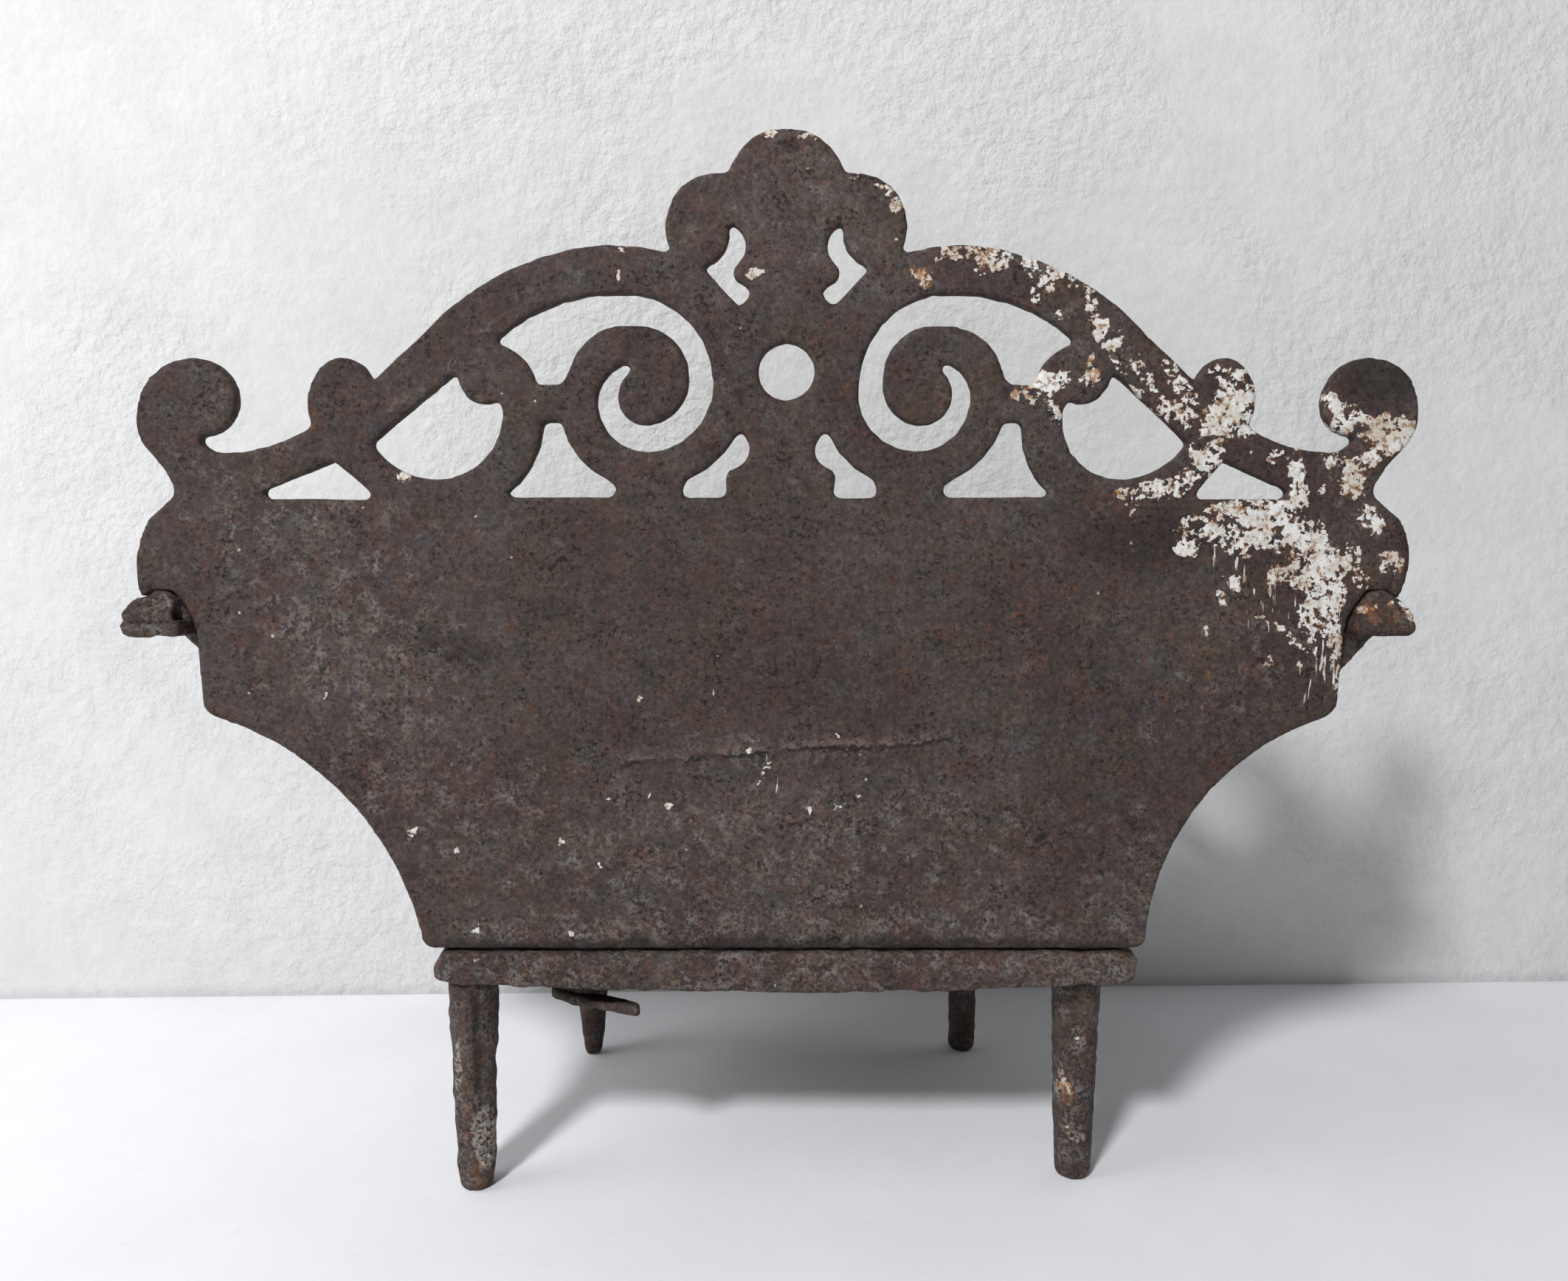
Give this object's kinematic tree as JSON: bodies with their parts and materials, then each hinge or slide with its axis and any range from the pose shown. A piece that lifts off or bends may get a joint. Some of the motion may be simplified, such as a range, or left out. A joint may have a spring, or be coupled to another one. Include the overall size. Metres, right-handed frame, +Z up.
{
  "type": "fire grate with fireback",
  "caption": "Free-standing cast-iron fire grate: fretted scroll back plate, flared side cheeks, bowed bars and a loose grate on a bed with four tapered legs.",
  "frame": {"origin": "middle of the underside of the overall box, on the hearth between the feet", "axes": "+Z up, +Y from the flat back of the plate towards the fire side, +X to the right of somebody who looks at the plate's flat back"},
  "size_m": [0.5664, 0.2478, 0.4755],
  "materials": {
    "painted_cast_iron": "rusty cast iron with flaking cream paint on the upper right",
    "cast_iron": "dark rusty cast iron",
    "wrought_iron": "dark rusty wrought iron"
  },
  "bodies": {
    "frame": {"base_frame": "cast_iron", "back_left_leg": "cast_iron", "back_right_leg": "cast_iron", "front_left_leg": "cast_iron", "front_right_leg": "cast_iron", "left_cheek": "cast_iron", "right_cheek": "cast_iron", "front_bar_1": "wrought_iron", "front_bar_2": "wrought_iron", "front_bar_3": "wrought_iron", "front_bar_4": "wrought_iron", "front_bar_5": "wrought_iron", "front_bar_6": "wrought_iron", "catch_rivet": "wrought_iron", "left_cheek_back_bolt": "wrought_iron", "left_cheek_back_nut": "wrought_iron", "left_cheek_front_bolt": "wrought_iron", "left_cheek_front_nut": "wrought_iron", "right_cheek_back_bolt": "wrought_iron", "right_cheek_back_nut": "wrought_iron", "right_cheek_front_bolt": "wrought_iron", "right_cheek_front_nut": "wrought_iron"},
    "back_plate": {"back_plate": "painted_cast_iron"},
    "bottom_grate": {"bottom_grate": "cast_iron"},
    "catch": {"catch_lever": "wrought_iron"}
  },
  "joints": [
    {"name": "plate_lift", "type": "slide", "parent": "frame", "child": "back_plate", "axis": [0, 0, 1], "range_m": [0, 0.25]},
    {"name": "grate_lift", "type": "slide", "parent": "frame", "child": "bottom_grate", "axis": [0, 0, 1], "range_m": [0, 0.25]},
    {"name": "catch_swing", "type": "hinge", "parent": "frame", "child": "catch", "pos_m": [-0.09666, -0.07845, 0.0858], "axis": [0, 0, 1], "range_deg": [0, 90]}
  ]
}
